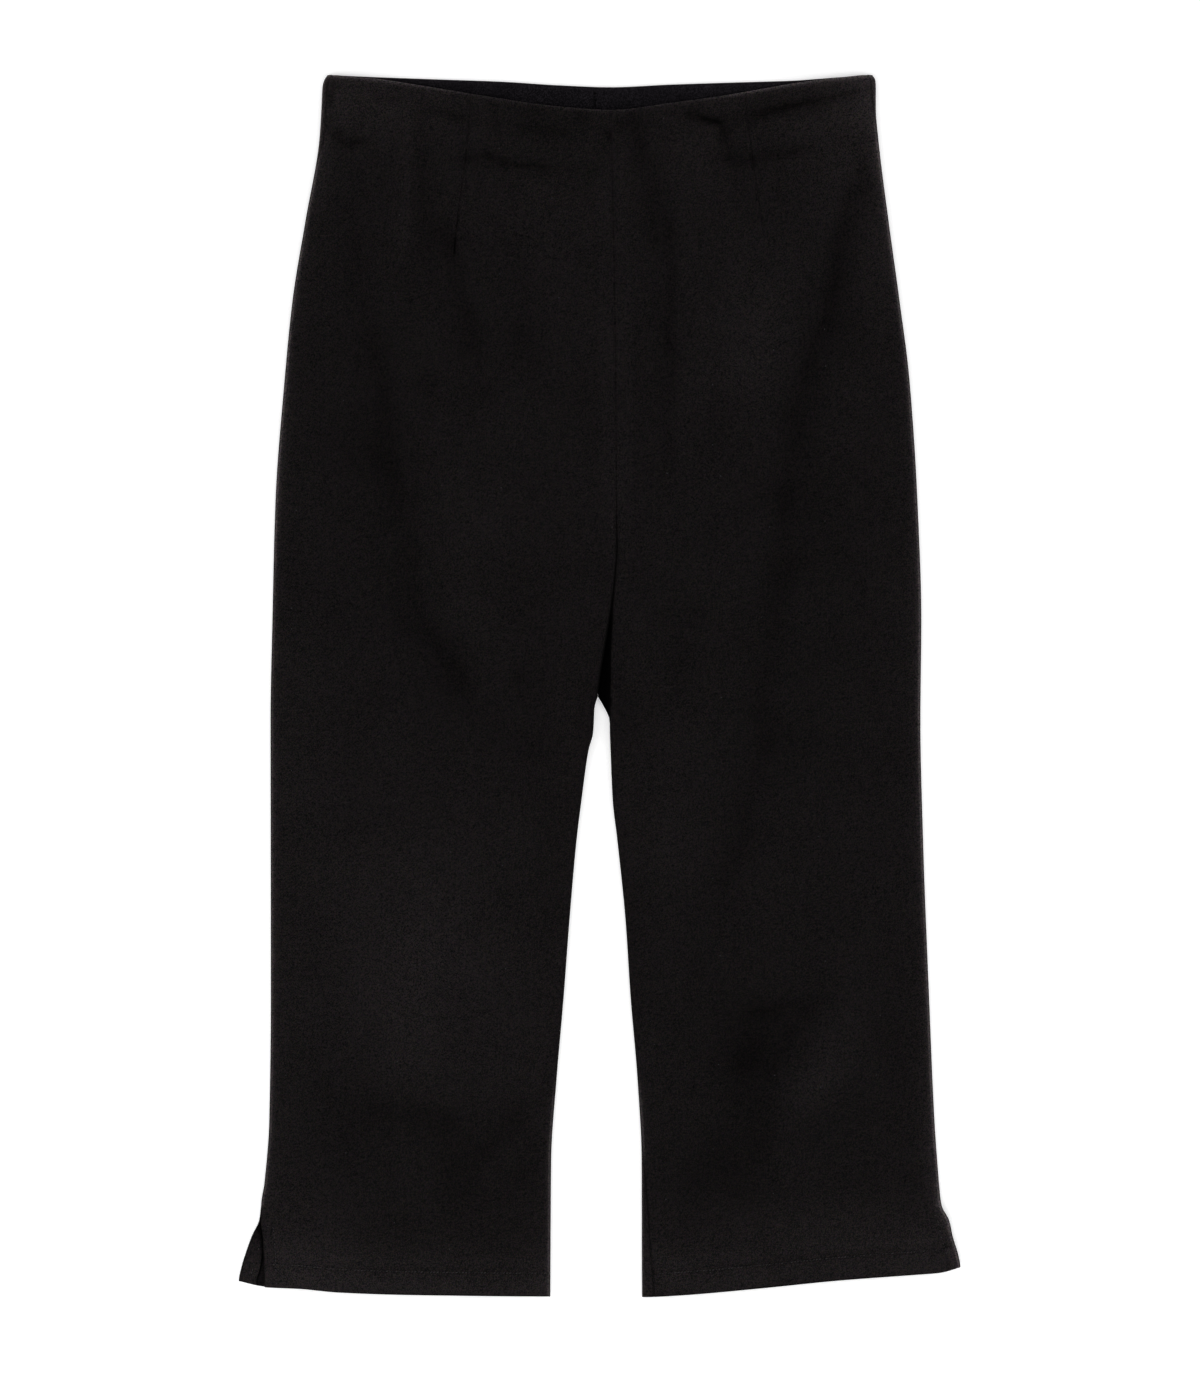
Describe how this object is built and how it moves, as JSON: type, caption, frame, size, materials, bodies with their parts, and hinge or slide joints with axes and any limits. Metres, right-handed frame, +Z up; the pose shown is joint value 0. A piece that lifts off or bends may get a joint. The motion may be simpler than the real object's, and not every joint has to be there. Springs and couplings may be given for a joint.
{
  "type": "capri pants",
  "caption": "Cropped slim trousers of black stretch cloth with front waist darts, a faced waist and slit side hems, lying flat with the front up.",
  "frame": {"origin": "centre of the laid-out garment's outline, on the surface that its back rests on", "axes": "+Y from the hems to the waist, +Z up out of the front, +X towards the wearer's left leg"},
  "size_m": [0.4616, 0.782, 0.0078],
  "materials": {
    "cloth": "matt black stretch weave with a fine cross rib",
    "facing": "blue-black plain facing cloth, matt"
  },
  "bodies": {
    "root": {"front_right": "cloth", "front_left": "cloth", "back_right": "cloth", "back_left": "cloth", "back_waist_facing_right": "facing", "back_waist_facing_left": "facing"}
  },
  "joints": []
}
